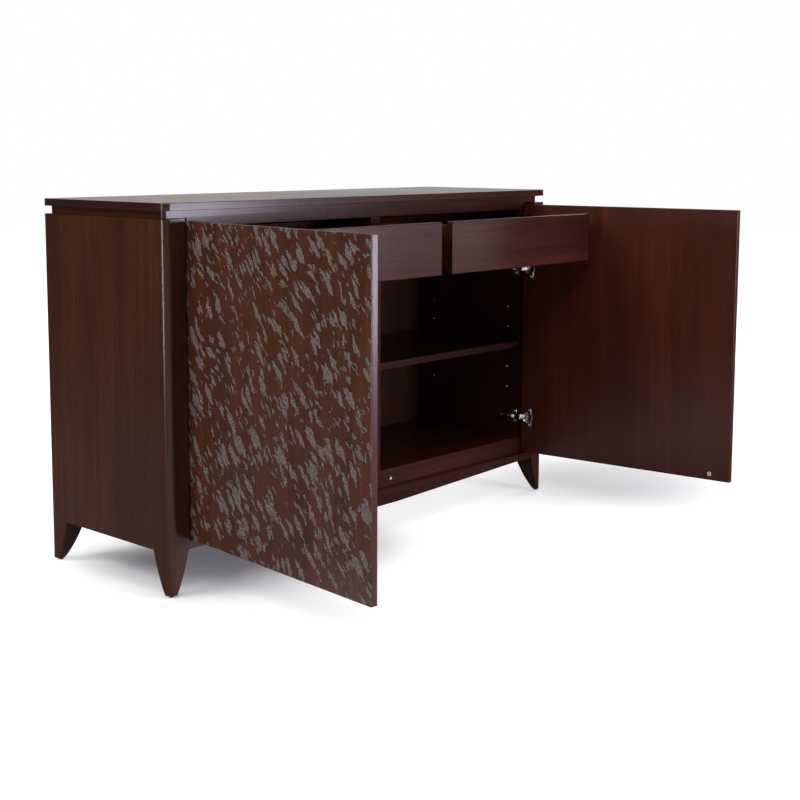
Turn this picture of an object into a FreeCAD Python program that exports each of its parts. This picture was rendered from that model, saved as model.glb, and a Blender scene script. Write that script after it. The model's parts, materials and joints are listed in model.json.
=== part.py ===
import FreeCAD, Part
import math
import os
from FreeCAD import Vector

# A two-door cabinet with two inner drawers, shown with its doors open and its drawers pulled out.
# Lengths are millimetres, angles degrees. +Z is up, the doors face -Y, and X runs from left to right.
# Everything is placed from the middle of the case's footprint on the floor, and moved as one at the end.

# Overall size
width = 1524.0
depth = 495.0
height = 965.0

# Top slab and the recessed neck under it
slab_t = 19.0
slab_ease = 1.5
front_corner_r = 22.0
back_corner_r = 3.0
neck_h = 20.0
neck_side_inset = 16.0
neck_back_inset = 10.0
neck_t = 19.0
neck_corner_r = 12.0

# Corner legs: a square post over a foot that tapers in two arcs
post_x = 62.0
post_y = 66.0
foot_step_x = 4.0
foot_step_y = 2.0
foot_bottom_x = 21.0
foot_bottom_y = 22.0
foot_bulge = 4.0
case_bottom = 112.0
glide_h = 5.0
glide_d = 12.0
glide_ease = 1.0
glide_inset = 14.0

# Case boards
side_t = 19.0
inner_side_t = 25.0
inner_side_setback = 5.0
top_panel_t = 21.0
bottom_t = 19.0
back_t = 12.0
back_recess = 26.5
partition_t = 38.0
spacer_t = 12.0
rail_t = 19.0
base_rail_h = 50.0
apron_end_h = 21.5
apron_drop = 25.6
apron_flat = 60.0
apron_bend_r = 3000.0

# Doors
door_reveal = 3.0
door_t = 19.0
door_face_t = 3.0
door_gap = 2.5
post_gap = 3.0
meeting_gap = 3.0
door_top_drop = 5.5
door_bottom_gap = 3.0
door_rest_angle = 96.0
door_ease = 1.5

# Concealed hinges: a cup in the door, a cranked arm on a plate on the case
pin_from_edge = 10.7
pin_from_face = 7.0
pin_r = 1.4
pin_half = 9.5
eye_r = 2.8
cup_d = 35.0
cup_depth = 16.0
cup_wall = 0.8
cup_from_edge = 22.5
flange_t = 1.8
flange_half_h = 31.0
flange_reach = 15.5
flange_ear_r = 6.0
flange_screw_half = 24.0
flange_screw_out = 6.5
arm_t = 2.5
arm_half_h = 6.0
arm_out = 19.0
arm_eye_drop = 0.5
arm_back = 70.0
arm_cover_t = 6.0
arm_cover_start = 24.0
plate_half_h = 24.0
plate_ear = 16.0
plate_ear_t = 2.5
plate_from_front = 8.0
hinge_low_rise = 112.5
hinge_high_drop = 198.5
screw_head_r = 3.6
screw_head_t = 1.6
screw_shank_r = 1.7
screw_len = 12.0

# Drawers
drawer_front_h = 140.5
drawer_top_gap = 4.5
drawer_side_gap = 2.0
drawer_setback = 2.0
drawer_front_t = 19.0
drawer_rest = 260.0
drawer_ease = 2.0
box_gap = 5.0
box_side_t = 13.0
box_end_gap = 6.0
box_lift = 12.0
box_top_drop = 10.0
box_floor_t = 6.0
box_floor_lift = 13.0
box_back_t = 13.0
floor_groove = 5.0

# Runners under the drawers: a cabinet rail, a middle channel and a drawer channel, nested
runner_setback = 3.0
runner_end_gap = 12.0
runner_inset = 25.0
runner_w = 10.0
runner_clear = 0.5
runner_wall = 2.0
runner_plate_t = 1.5
runner_base_lift = 1.0
runner_leg_lift = 3.0
runner_flange_h = 9.0
runner_share = 0.5

# Adjustable shelves on pins in sleeved holes
shelf_t = 19.0
shelf_end_gap = 1.5
shelf_setback = 11.0
shelf_back_gap = 4.0
shelf_row = 2
shelf_ease = 1.0
hole_rows = 5
hole_pitch = 64.0
hole_mid_drop = 3.25
hole_front_from_plane = 53.0
hole_back_from_panel = 73.0
sleeve_bore_r = 2.55
sleeve_r = 3.5
sleeve_len = 9.0
sleeve_end_gap = 1.0
sleeve_rim_r = 4.6
sleeve_rim_t = 0.7
pin_shank_r = 2.5
pin_shank_len = 7.0
pin_collar_r = 4.0
pin_collar_t = 1.2
pin_peg_len = 8.0
fit_clear = 0.04

# Sprung magnetic latches in the base rail, and the strikes they hold
latch_x = 62.0
latch_rise = 21.5
latch_barrel_r = 5.5
latch_collar_r = 6.6
latch_collar_t = 0.8
latch_len = 38.0
latch_end_t = 2.0
plunger_r = 4.0
plunger_clear = 0.25
plunger_out = 1.5
plunger_travel = 4.0
strike_r = 6.5
strike_t = 2.0
strike_proud = 1.0

# Small fits
overrun = 10.0
pick_reach = 0.4

# Planes and levels worked out from the sizes above
half_w = width / 2
half_d = depth / 2
slab_bottom = height - slab_t
case_top = slab_bottom - neck_h
door_face_y = -half_d + door_reveal
door_back_y = door_face_y + door_t
front_plane_y = door_back_y + door_gap
rail_back_y = front_plane_y + rail_t
back_face_y = half_d - back_recess - back_t
post_in_x = half_w - post_x
post_in_y = half_d - post_y
inner_face_x = post_in_x - inner_side_t
apron_top = case_bottom + apron_end_h
base_rail_top = apron_top + base_rail_h
rail_bottom = case_top - top_panel_t
partition_half = partition_t / 2
spacer_face_x = inner_face_x - spacer_t
inner_side_front_y = front_plane_y + inner_side_setback
drawer_top_z = rail_bottom - drawer_top_gap
drawer_bottom_z = drawer_top_z - drawer_front_h
box_bottom_z = drawer_bottom_z + box_lift
box_floor_z = box_bottom_z + box_floor_lift
box_top_z = drawer_top_z - box_top_drop
drawer_face_y = front_plane_y + drawer_setback
drawer_in_y = drawer_face_y + drawer_front_t
box_depth = back_face_y - box_end_gap - drawer_in_y
runner_len = box_depth - runner_setback - runner_end_gap
shelf_hole_z = (base_rail_top + drawer_bottom_z) / 2 - hole_mid_drop
shelf_z = shelf_hole_z + pin_shank_r
door_edge_x = post_in_x - post_gap
door_free_x = meeting_gap / 2
door_width = door_edge_x - door_free_x
door_low = apron_top + door_bottom_gap
door_high = case_top - door_top_drop
pivot = Vector(door_edge_x - pin_from_edge, door_face_y + pin_from_face, 0)
cup_x = door_edge_x - cup_from_edge
hinge_levels = (door_low + hinge_low_rise, door_high - hinge_high_drop)
latch_z = apron_top + latch_rise

# The doors' free ends reach furthest forward, so the part's box is centred between them and the back
rest_sin = math.sin(math.radians(door_rest_angle))
rest_cos = math.cos(math.radians(door_rest_angle))
free_y = pivot.y - (door_width - pin_from_edge) * rest_sin
front_reach = free_y + (door_t - pin_from_face) * rest_cos
to_origin = Vector(0, -(front_reach + half_d) / 2, 0)

X = Vector(1, 0, 0)
Y = Vector(0, 1, 0)
Z = Vector(0, 0, 1)
CENTRE = Vector(0, 0, 0)


def block(x, y, z):
    """A box between pairs of limits."""
    size = (x[1] - x[0], y[1] - y[0], z[1] - z[0])
    return Part.makeBox(*size, Vector(x[0], y[0], z[0]))


def rod(r, start, along):
    """A round bar from a point, as long as the vector along."""
    return Part.makeCylinder(r, along.Length, start, along)


def flip(shape):
    """The same shape on the cabinet's other side."""
    return shape.mirror(CENTRE, X)


def group(shapes):
    """Separate solids kept in one node."""
    return Part.makeCompound(shapes)


def both_sides(shape):
    """The solids of the right side with their twins on the left."""
    return group(shape.Solids + flip(shape).Solids)


def outline(edges, along):
    """A solid from edges that close a flat outline, drawn out along a vector."""
    return Part.Face(Part.Wire(Part.__sortEdges__(edges))).extrude(along)


def line(a, b):
    return Part.LineSegment(a, b).toShape()


def eased(shape, r, wanted):
    """Rounds the edges that wanted picks out."""
    return shape.makeFillet(r, [e for e in shape.Edges if wanted(e)])


def upright(edge):
    box = edge.BoundBox
    return box.ZLength > box.XLength + box.YLength


def upright_at(x, y):
    """Picks the upright edges near one corner of a board."""

    def wanted(edge):
        middle = edge.BoundBox.Center
        near = math.hypot(middle.x - x, middle.y - y) < pick_reach
        return upright(edge) and near

    return wanted


def level_at(z):
    """Picks the edges that lie at one level."""

    def wanted(edge):
        box = edge.BoundBox
        return box.ZLength < pick_reach and abs(box.Center.z - z) < pick_reach

    return wanted


def facing_at(y):
    """Picks the edges that lie in one plane parallel to the front."""

    def wanted(edge):
        box = edge.BoundBox
        return box.YLength < pick_reach and abs(box.Center.y - y) < pick_reach

    return wanted


def write(node, shape):
    """Moves a finished sub-part to the part's frame and writes its file."""
    moved = shape.copy()
    moved.translate(to_origin)
    moved.exportStep("parts/" + node + ".step")


# Case


def top_slab():
    slab = block((-half_w, half_w), (-half_d, half_d), (slab_bottom, height))
    for side in (-half_w, half_w):
        slab = eased(slab, front_corner_r, upright_at(side, -half_d))
        slab = eased(slab, back_corner_r, upright_at(side, half_d))
    return eased(slab, slab_ease, level_at(height))


def neck_side():
    """The left strip of the neck, between its front rail and its back strip."""
    outer = -half_w + neck_side_inset
    back = half_d - neck_back_inset - neck_t
    return block((outer, outer + neck_t), (rail_back_y, back), (case_top, slab_bottom))


def neck_back():
    outer = half_w - neck_side_inset
    back = half_d - neck_back_inset
    return block((-outer, outer), (back - neck_t, back), (case_top, slab_bottom))


def front_top_rail():
    """The rail over the drawers, which widens into the front of the neck above the case."""
    outer = half_w - neck_side_inset
    neck = block((-outer, outer), (front_plane_y, rail_back_y), (case_top, slab_bottom))
    for side in (-outer, outer):
        neck = eased(neck, neck_corner_r, upright_at(side, front_plane_y))
    rail = block((-inner_face_x, inner_face_x), (front_plane_y, rail_back_y), (rail_bottom, case_top))
    return neck.fuse(rail).removeSplitter()


def case_top_panel():
    return block((-inner_face_x, inner_face_x), (rail_back_y, back_face_y), (rail_bottom, case_top))


def foot_side(bottom, step, post, across):
    """One side view of a leg: the foot's arc under the post, drawn out across the leg."""
    top = post - step
    middle = (bottom + top) / 2 + foot_bulge
    mid_z = (glide_h + case_bottom) / 2

    def at(inward, z):
        return Vector(0, inward, z) if across.x else Vector(inward, 0, z)

    arc = Part.Arc(at(bottom, glide_h), at(middle, mid_z), at(top, case_bottom)).toShape()
    edges = [
        line(at(0, glide_h), at(bottom, glide_h)),
        arc,
        line(at(top, case_bottom), at(post, case_bottom)),
        line(at(post, case_bottom), at(post, case_top)),
        line(at(post, case_top), at(0, case_top)),
        line(at(0, case_top), at(0, glide_h)),
    ]
    return outline(edges, across)


def leg(corner_r):
    """A leg with its outer corner at the origin, standing towards +X and +Y."""
    post = block((0, post_x), (0, post_y), (glide_h, case_top))
    post = eased(post, corner_r, upright_at(0, 0))
    tapered_x = foot_side(foot_bottom_x, foot_step_x, post_x, Y * post_y)
    tapered_y = foot_side(foot_bottom_y, foot_step_y, post_y, X * post_x)
    return post.common(tapered_x).common(tapered_y).removeSplitter()


def front_leg():
    """The left front leg."""
    shape = leg(front_corner_r)
    shape.translate(Vector(-half_w, -half_d, 0))
    return shape


def back_leg():
    """The left back leg."""
    shape = leg(back_corner_r)
    shape.translate(Vector(-half_w, -half_d, 0))
    return shape.mirror(CENTRE, Y)


def glides():
    """A nylon-faced button under each foot."""
    made = []
    for x in (-half_w + glide_inset, half_w - glide_inset):
        for y in (-half_d + glide_inset, half_d - glide_inset):
            button = rod(glide_d / 2, Vector(x, y, 0), Z * glide_h)
            made.append(eased(button, glide_ease, level_at(0)))
    return group(made)


def side_panel():
    """The left outer panel, flush with the legs' outer faces."""
    return block((-half_w, -half_w + side_t), (-post_in_y, post_in_y), (case_bottom, case_top))


def hole_places():
    """The depth and height of each shelf-pin hole in a board."""
    front = front_plane_y + hole_front_from_plane
    back = back_face_y - hole_back_from_panel
    levels = [shelf_hole_z + (row - shelf_row) * hole_pitch for row in range(hole_rows)]
    return [(y, z) for y in (front, back) for z in levels]


def pin_holes(face_x, inward):
    """The bores for the pin sleeves on one board face; inward points into the board."""
    depth_in = sleeve_len + sleeve_end_gap
    return [rod(sleeve_r, Vector(face_x, y, z), inward * depth_in) for y, z in hole_places()]


def plate_screw_places():
    """The depth and height of each hinge plate screw."""
    y = inner_side_front_y + plate_from_front + plate_ear / 2
    offset = (arm_half_h + plate_half_h) / 2
    return [(y, z + side * offset) for z in hinge_levels for side in (-1, 1)]


def plate_screw_holes():
    """The pilot holes in the right inner side."""
    return [rod(screw_shank_r, Vector(inner_face_x, y, z), X * screw_len) for y, z in plate_screw_places()]


def inner_side():
    """The right inner side, drilled for shelf pins and hinge plates."""
    board = block((inner_face_x, post_in_x), (inner_side_front_y, back_face_y), (apron_top, case_top))
    return board.cut(pin_holes(inner_face_x, X) + plate_screw_holes())


def bottom_board():
    x = (-inner_face_x, inner_face_x)
    return block(x, (rail_back_y, back_face_y), (base_rail_top - bottom_t, base_rail_top))


def latch_bore(x):
    return rod(latch_barrel_r, Vector(x, front_plane_y, latch_z), Y * rail_t)


def base_rail():
    """The rail under the bottom board's front edge, bored for the two latches."""
    x = (-inner_face_x, inner_face_x)
    rail = block(x, (front_plane_y, rail_back_y), (apron_top, base_rail_top))
    return rail.cut([latch_bore(-latch_x), latch_bore(latch_x)])


def apron_front():
    """The shaped apron: level at its ends, then falling in one long bend to the middle."""
    y = door_face_y
    end = post_in_x
    start = end - apron_flat
    slope = math.atan2(apron_drop, start)
    tangent = apron_bend_r * math.tan(slope)
    near_x = tangent * math.cos(slope)
    low_z = case_bottom - apron_drop
    near_z = low_z + tangent * math.sin(slope)
    middle_z = low_z + apron_bend_r * (1 / math.cos(slope) - 1)
    bend = Part.Arc(Vector(-near_x, y, near_z), Vector(0, y, middle_z), Vector(near_x, y, near_z))
    points = [
        Vector(near_x, y, near_z),
        Vector(start, y, case_bottom),
        Vector(end, y, case_bottom),
        Vector(end, y, apron_top),
        Vector(-end, y, apron_top),
        Vector(-end, y, case_bottom),
        Vector(-start, y, case_bottom),
        Vector(-near_x, y, near_z),
    ]
    edges = [bend.toShape()] + [line(a, b) for a, b in zip(points, points[1:])]
    return outline(edges, Y * (rail_back_y - y))


def apron_back():
    y = (back_face_y, back_face_y + back_t)
    return block((-post_in_x, post_in_x), y, (case_bottom, apron_top))


def back_panel():
    y = (back_face_y, back_face_y + back_t)
    return block((-post_in_x, post_in_x), y, (apron_top, case_top))


def centre_partition():
    """The upright between the two bays, drilled for shelf pins on both faces."""
    x = (-partition_half, partition_half)
    board = block(x, (front_plane_y, back_face_y), (base_rail_top, rail_bottom))
    return board.cut(pin_holes(partition_half, -X) + pin_holes(-partition_half, X))


def drawer_spacer():
    """The right strip that keeps the drawer clear of the open door."""
    y = (front_plane_y, back_face_y)
    return block((spacer_face_x, inner_face_x), y, (drawer_bottom_z, rail_bottom))


def shelf():
    """The right shelf."""
    x = (partition_half + shelf_end_gap, inner_face_x - shelf_end_gap)
    y = (front_plane_y + shelf_setback, back_face_y - shelf_back_gap)
    board = block(x, y, (shelf_z, shelf_z + shelf_t))
    return eased(board, shelf_ease, facing_at(y[0]))


def board_faces():
    """Each bored board face, with the direction into the board."""
    return [
        (-inner_face_x, -X),
        (-partition_half, X),
        (partition_half, -X),
        (inner_face_x, X),
    ]


def pin_sleeves():
    """A flanged sleeve in every shelf-pin hole."""
    made = []
    for face_x, inward in board_faces():
        for y, z in hole_places():
            face = Vector(face_x, y, z)
            barrel = rod(sleeve_r - fit_clear, face, inward * sleeve_len)
            rim = rod(sleeve_rim_r, face - inward * sleeve_rim_t, inward * sleeve_rim_t)
            bore = rod(sleeve_bore_r, face - inward * overrun, inward * (overrun + sleeve_len))
            made.append(barrel.fuse(rim).cut(bore).removeSplitter())
    return group(made)


def shelf_pins():
    """The pins that carry the two shelves."""
    made = []
    z = shelf_z - pin_shank_r
    depths = sorted({y for y, _ in hole_places()})
    for face_x, inward in board_faces():
        for y in depths:
            face = Vector(face_x, y, z) - inward * sleeve_rim_t
            shank = rod(pin_shank_r, face, inward * (pin_shank_len + sleeve_rim_t))
            collar = rod(pin_collar_r, face - inward * pin_collar_t, inward * pin_collar_t)
            peg = rod(pin_shank_r, face, -inward * pin_peg_len)
            level = block((-half_w, half_w), (-half_d, half_d), (case_bottom, shelf_z))
            made.append(shank.fuse([collar, peg]).common(level).removeSplitter())
    return group(made)


# Hinges


def arm_plane_x():
    """The side of the arm that lies on its plate."""
    return pivot.x - arm_out + arm_t


def hinge_plates():
    """The mounting plate of each right hinge: a base under the arm with two screw ears."""
    made = []
    front = inner_side_front_y + plate_from_front
    base_y = (front, inner_side_front_y + arm_back)
    ear_y = (front, front + plate_ear)
    ear_x = (inner_face_x - plate_ear_t, inner_face_x)
    seats = [Vector(inner_face_x, y, z) for y, z in plate_screw_places()]
    holes = [rod(screw_shank_r, seat, -X * overrun) for seat in seats]
    for z in hinge_levels:
        base = block((arm_plane_x(), inner_face_x), base_y, (z - arm_half_h, z + arm_half_h))
        ears = block(ear_x, ear_y, (z - plate_half_h, z + plate_half_h))
        made.append(base.fuse(ears).cut(holes).removeSplitter())
    return group(made)


def hinge_arms():
    """The cranked arm of each right hinge: a strip from the plate to an eye round the cup's pin."""
    made = []
    left = pivot.x - arm_out
    low = pivot.y - eye_r
    back = inner_side_front_y + arm_back
    for z in hinge_levels:
        heights = (z - arm_half_h, z + arm_half_h)
        strip = block((left, left + arm_t), (low, back), heights)
        crank = block((left, pivot.x), (low, low + arm_t - arm_eye_drop), heights)
        eye = rod(eye_r, Vector(pivot.x, pivot.y, z - arm_half_h), Z * (arm_half_h * 2))
        cover_y = (inner_side_front_y + arm_cover_start, back)
        cover = block((left - arm_cover_t, left), cover_y, heights)
        bore = rod(pin_r + plunger_clear / 2, Vector(pivot.x, pivot.y, z - overrun), Z * (overrun * 2))
        made.append(strip.fuse([crank, eye, cover]).cut(bore).removeSplitter())
    return group(made)


def screw(head, inward):
    """A round-headed wood screw whose head sits on a point; inward points into the wood."""
    top = rod(screw_head_r, head - inward * screw_head_t, inward * screw_head_t)
    shank = rod(screw_shank_r - fit_clear, head, inward * screw_len)
    return top.fuse(shank).removeSplitter()


def hinge_plate_screws():
    """The screws of the right hinge plates."""
    x = inner_face_x - plate_ear_t
    return group([screw(Vector(x, y, z), X) for y, z in plate_screw_places()])


def open_door(shape):
    """Swings a piece of the closed right door to the angle it rests at."""
    shape.rotate(pivot, Z, door_rest_angle)
    return shape


def cup_screw_places():
    x = cup_x - flange_screw_out
    offsets = (-flange_screw_half, flange_screw_half)
    return [Vector(x, door_back_y, z + side) for z in hinge_levels for side in offsets]


def strike_place():
    return Vector(latch_x, door_back_y, latch_z)


def door_core():
    """The right door's core, with pockets for the hinge cups, the strike and their screws."""
    y = (door_face_y + door_face_t, door_back_y)
    core = block((door_free_x, door_edge_x), y, (door_low, door_high))
    core = eased(core, door_ease, facing_at(door_back_y))
    tools = []
    for z in hinge_levels:
        tools.append(rod(cup_d / 2 + fit_clear, Vector(cup_x, door_back_y, z), -Y * cup_depth))
    for place in cup_screw_places():
        tools.append(rod(screw_shank_r, place, -Y * screw_len))
    sunk = strike_t - strike_proud
    tools.append(rod(strike_r + fit_clear, strike_place(), -Y * sunk))
    return open_door(core.cut(tools))


def door_face():
    """The right door's decorated outer sheet."""
    y = (door_face_y, door_face_y + door_face_t)
    sheet = block((door_free_x, door_edge_x), y, (door_low, door_high))
    return open_door(eased(sheet, door_ease, facing_at(door_face_y)))


def cup_flange(z):
    """The screw flange of one hinge cup, with rounded ears, and the half rim beside it."""
    heights = (z - flange_half_h, z + flange_half_h)
    plate = block((cup_x - flange_reach, cup_x), (door_back_y, door_back_y + flange_t), heights)

    def ear_corner(edge):
        box = edge.BoundBox
        return box.YLength > pick_reach and box.Center.x < cup_x - pick_reach

    rim = rod(cup_d / 2 + flange_t, Vector(cup_x, door_back_y, z), Y * (flange_t / 2))
    edge_half = block((cup_x, cup_x + cup_d), (door_back_y, door_back_y + overrun), heights)
    return [eased(plate, flange_ear_r, ear_corner), rim.cut(edge_half)]


def pin_lugs(z):
    """The webs that hold the ends of one hinge's pin inside its cup."""
    bottom = door_back_y - cup_depth
    inside = rod(cup_d / 2 - cup_wall / 2, Vector(cup_x, bottom, z), Y * cup_depth)
    x = (pivot.x - eye_r, pivot.x + eye_r)
    y = (bottom, pivot.y + eye_r)
    lows = (z - pin_half - arm_t, z + pin_half)
    return [block(x, y, (low, low + arm_t)).common(inside) for low in lows]


def hinge_cups():
    """The cup, screw flange and pin of each hinge of the right door."""
    made = []
    holes = [rod(screw_shank_r, place, Y * overrun) for place in cup_screw_places()]
    for z in hinge_levels:
        centre = Vector(cup_x, door_back_y - cup_depth, z)
        cup = rod(cup_d / 2, centre, Y * cup_depth)
        hollow = rod(cup_d / 2 - cup_wall, centre + Y * cup_wall, Y * (cup_depth + overrun))
        body = cup.fuse(cup_flange(z)).cut([hollow] + holes)
        pin = rod(pin_r, Vector(pivot.x, pivot.y, z - pin_half), Z * (pin_half * 2))
        made.append(open_door(body.fuse([pin] + pin_lugs(z)).removeSplitter()))
    return group(made)


def cup_screws():
    """The screws of the right door's hinge cups."""
    seats = [place + Y * flange_t for place in cup_screw_places()]
    return group([open_door(screw(seat, -Y)) for seat in seats])


def strike():
    """The steel disc on the right door that meets the latch."""
    sunk = strike_t - strike_proud
    disc = rod(strike_r, strike_place() - Y * sunk, Y * strike_t)
    return open_door(disc)


# Latches


def latch_barrels():
    """A barrel with a collar for each latch, open at the front."""
    made = []
    for x in (-latch_x, latch_x):
        mouth = Vector(x, front_plane_y, latch_z)
        barrel = rod(latch_barrel_r - fit_clear, mouth, Y * latch_len)
        collar = rod(latch_collar_r, mouth, -Y * latch_collar_t)
        start = mouth - Y * overrun
        bore = rod(plunger_r + plunger_clear, start, Y * (overrun + latch_len - latch_end_t))
        made.append(barrel.fuse(collar).cut(bore).removeSplitter())
    return group(made)


def plunger():
    """The right latch's magnet-tipped plunger, as it stands when the door is open."""
    tip_y = front_plane_y - latch_collar_t - plunger_out
    end_y = front_plane_y + latch_len - latch_end_t - plunger_travel - plunger_clear
    body = rod(plunger_r, Vector(latch_x, tip_y, latch_z), Y * (end_y - tip_y))
    return eased(body, plunger_clear, facing_at(tip_y))


# Drawers


def drawer_limits():
    """The right drawer front's two sides."""
    return (partition_half + drawer_side_gap, spacer_face_x - drawer_side_gap)


def box_limits():
    """The right drawer box's two sides."""
    return (partition_half + box_gap, spacer_face_x - box_gap)


def pull_out(shape, distance):
    """Moves a piece of the closed drawer forwards."""
    shape.translate(-Y * distance)
    return shape


def drawer_front():
    """The right drawer's plain front, grooved for the floor."""
    y = (drawer_face_y, drawer_in_y)
    front = block(drawer_limits(), y, (drawer_bottom_z, drawer_top_z))
    front = eased(front, drawer_ease, facing_at(drawer_face_y))
    low, high = box_limits()
    x = (low + box_side_t, high - box_side_t)
    groove_y = (drawer_in_y - floor_groove, drawer_in_y + overrun)
    groove = block(x, groove_y, (box_floor_z, box_floor_z + box_floor_t))
    return pull_out(front.cut(groove), drawer_rest)


def box_side(low):
    """One side of the right drawer's box."""
    y = (drawer_in_y, drawer_in_y + box_depth)
    side = block((low, low + box_side_t), y, (box_bottom_z, box_top_z))
    return pull_out(side, drawer_rest)


def box_floor():
    low, high = box_limits()
    x = (low + box_side_t, high - box_side_t)
    y = (drawer_in_y - floor_groove, drawer_in_y + box_depth)
    return pull_out(block(x, y, (box_floor_z, box_floor_z + box_floor_t)), drawer_rest)


def box_back():
    low, high = box_limits()
    x = (low + box_side_t, high - box_side_t)
    y = (drawer_in_y + box_depth - box_back_t, drawer_in_y + box_depth)
    return pull_out(block(x, y, (box_floor_z + box_floor_t, box_top_z)), drawer_rest)


def channel(x, z, y):
    """A channel that opens downwards."""
    body = block(x, y, z)
    inside_x = (x[0] + runner_wall, x[1] - runner_wall)
    return body.cut(block(inside_x, y, (z[0], z[1] - runner_plate_t)))


def runner_places():
    """For each runner of the right drawer, the wall it is fixed to and the way into the bay."""
    return [(partition_half, 1), (spacer_face_x, -1)]


def from_wall(wall, way, near, far):
    """A pair of limits measured from a wall into the bay."""
    return tuple(sorted((wall + way * near, wall + way * far)))


def runner_y():
    start = drawer_in_y + runner_setback
    return (start, start + runner_len)


def cabinet_runners():
    """The right drawer's fixed runner rails, each on an angle fixed to its wall."""
    made = []
    base = drawer_bottom_z + runner_base_lift
    top = box_floor_z - runner_clear * 2 - runner_plate_t * 2
    reach = runner_inset + runner_w
    for wall, way in runner_places():
        flat = block(from_wall(wall, way, 0, reach), runner_y(), (base, base + runner_plate_t))
        flange_x = from_wall(wall, way, 0, runner_plate_t)
        flange = block(flange_x, runner_y(), (base, base + runner_flange_h))
        rail = block(from_wall(wall, way, runner_inset, reach), runner_y(), (base, top))
        made.append(flat.fuse([flange, rail]).removeSplitter())
    return group(made)


def middle_runners():
    """The right drawer's middle channels, over the fixed rails."""
    made = []
    low = drawer_bottom_z + runner_leg_lift + runner_clear
    high = box_floor_z - runner_clear - runner_plate_t
    out = runner_clear + runner_wall
    for wall, way in runner_places():
        x = from_wall(wall, way, runner_inset - out, runner_inset + runner_w + out)
        made.append(pull_out(channel(x, (low, high), runner_y()), drawer_rest * runner_share))
    return group(made)


def drawer_runners():
    """The channels under the right drawer's floor, over the middle channels."""
    made = []
    low = drawer_bottom_z + runner_leg_lift + runner_clear
    out = (runner_clear + runner_wall) * 2
    for wall, way in runner_places():
        x = from_wall(wall, way, runner_inset - out, runner_inset + runner_w + out)
        made.append(pull_out(channel(x, (low, box_floor_z), runner_y()), drawer_rest))
    return group(made)


def single_pieces():
    """The pieces that there is one node of."""
    return {
        "top_slab": top_slab(),
        "neck_back": neck_back(),
        "front_top_rail": front_top_rail(),
        "case_top_panel": case_top_panel(),
        "glides": glides(),
        "bottom_board": bottom_board(),
        "base_rail": base_rail(),
        "apron_front": apron_front(),
        "apron_back": apron_back(),
        "back_panel": back_panel(),
        "centre_partition": centre_partition(),
        "pin_sleeves": pin_sleeves(),
        "shelf_pins": shelf_pins(),
        "latch_barrels": latch_barrels(),
        "hinge_plates": both_sides(hinge_plates()),
        "hinge_arms": both_sides(hinge_arms()),
        "hinge_plate_screws": both_sides(hinge_plate_screws()),
    }


def left_pieces():
    """The pieces modelled on the left, each with a twin on the right."""
    return {
        "neck": neck_side(),
        "front_leg": front_leg(),
        "back_leg": back_leg(),
        "side_panel": side_panel(),
    }


def right_pieces():
    """The pieces modelled on the right, each with a twin on the left."""
    low, high = box_limits()
    return {
        "inner_side": inner_side(),
        "drawer_spacer": drawer_spacer(),
        "shelf": shelf(),
        "door_core": door_core(),
        "door_face": door_face(),
        "hinge_cups": hinge_cups(),
        "cup_screws": cup_screws(),
        "strike": strike(),
        "latch_plunger": plunger(),
        "drawer_front": drawer_front(),
        "drawer_inner_wall": box_side(low),
        "drawer_outer_wall": box_side(high - box_side_t),
        "drawer_floor": box_floor(),
        "drawer_back": box_back(),
        "cabinet_runners": cabinet_runners(),
        "middle_runners": middle_runners(),
        "drawer_runners": drawer_runners(),
    }


os.makedirs("parts", exist_ok=True)
for name, shape in single_pieces().items():
    write(name, shape)
for name, shape in left_pieces().items():
    write("left_" + name, shape)
    write("right_" + name, flip(shape))
for name, shape in right_pieces().items():
    write("right_" + name, shape)
    write("left_" + name, flip(shape))
print("pivot", pivot + to_origin, "origin shift", to_origin.y)
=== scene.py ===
"""Finishes of a two-door cabinet in dark wood, with nickel hinges and a flecked sheet on each door."""
import json
import math

import bmesh
import bpy
from mathutils import Matrix, Vector


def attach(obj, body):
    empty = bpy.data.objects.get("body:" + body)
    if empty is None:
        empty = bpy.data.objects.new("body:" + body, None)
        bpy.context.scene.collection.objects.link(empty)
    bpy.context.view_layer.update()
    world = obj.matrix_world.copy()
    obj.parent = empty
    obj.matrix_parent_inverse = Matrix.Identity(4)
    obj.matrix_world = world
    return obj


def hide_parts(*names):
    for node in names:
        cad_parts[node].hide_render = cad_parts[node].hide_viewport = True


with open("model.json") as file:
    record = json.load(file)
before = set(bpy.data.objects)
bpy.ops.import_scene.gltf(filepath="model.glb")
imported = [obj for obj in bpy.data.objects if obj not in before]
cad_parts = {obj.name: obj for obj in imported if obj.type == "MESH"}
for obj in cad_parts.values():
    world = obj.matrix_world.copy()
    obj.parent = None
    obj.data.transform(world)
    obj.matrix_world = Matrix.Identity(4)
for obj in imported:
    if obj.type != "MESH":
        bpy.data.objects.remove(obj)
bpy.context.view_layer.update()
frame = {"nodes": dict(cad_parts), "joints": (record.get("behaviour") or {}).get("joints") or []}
nodes = frame["nodes"]
joints = {joint["name"]: joint for joint in frame["joints"]}

# Doors, with how many degrees they stand open
SIDES = ("left", "right")
SIDE_SIGN = {"left": -1, "right": 1}
PIVOTS = {side: Vector(joints[side + "_door_hinge"]["pos_m"]) for side in SIDES}
DOOR_OPEN = 96.0

# Stains, each as the wood's dark, middle and light tone
OUTER_STAIN = ("2e170b", "3a1d0f", "4b2614")
FRONT_STAIN = ("2e150e", "3c1c12", "542819")
INNER_STAIN = ("29120a", "37190e", "482214")
DRAWER_STAIN = ("28120c", "371910", "4c2417")
DOOR_STAIN = ("39190c", "451e10", "5b2b16")
SHEET_STAIN = ("33180c", "442110", "5a2f19")
PORE_TONE = "0c0504"
CUT_END_TONE = "140805"

# Plating and plastics
NICKEL_TONE = "e6e4e0"
ZINC_TONE = "a3a6a8"
DULLED_TONE = "8d8c88"
BLACK_TONES = ("141110", "1d1917")
WHITE_TONES = ("dedad2", "cfcac0")

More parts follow.
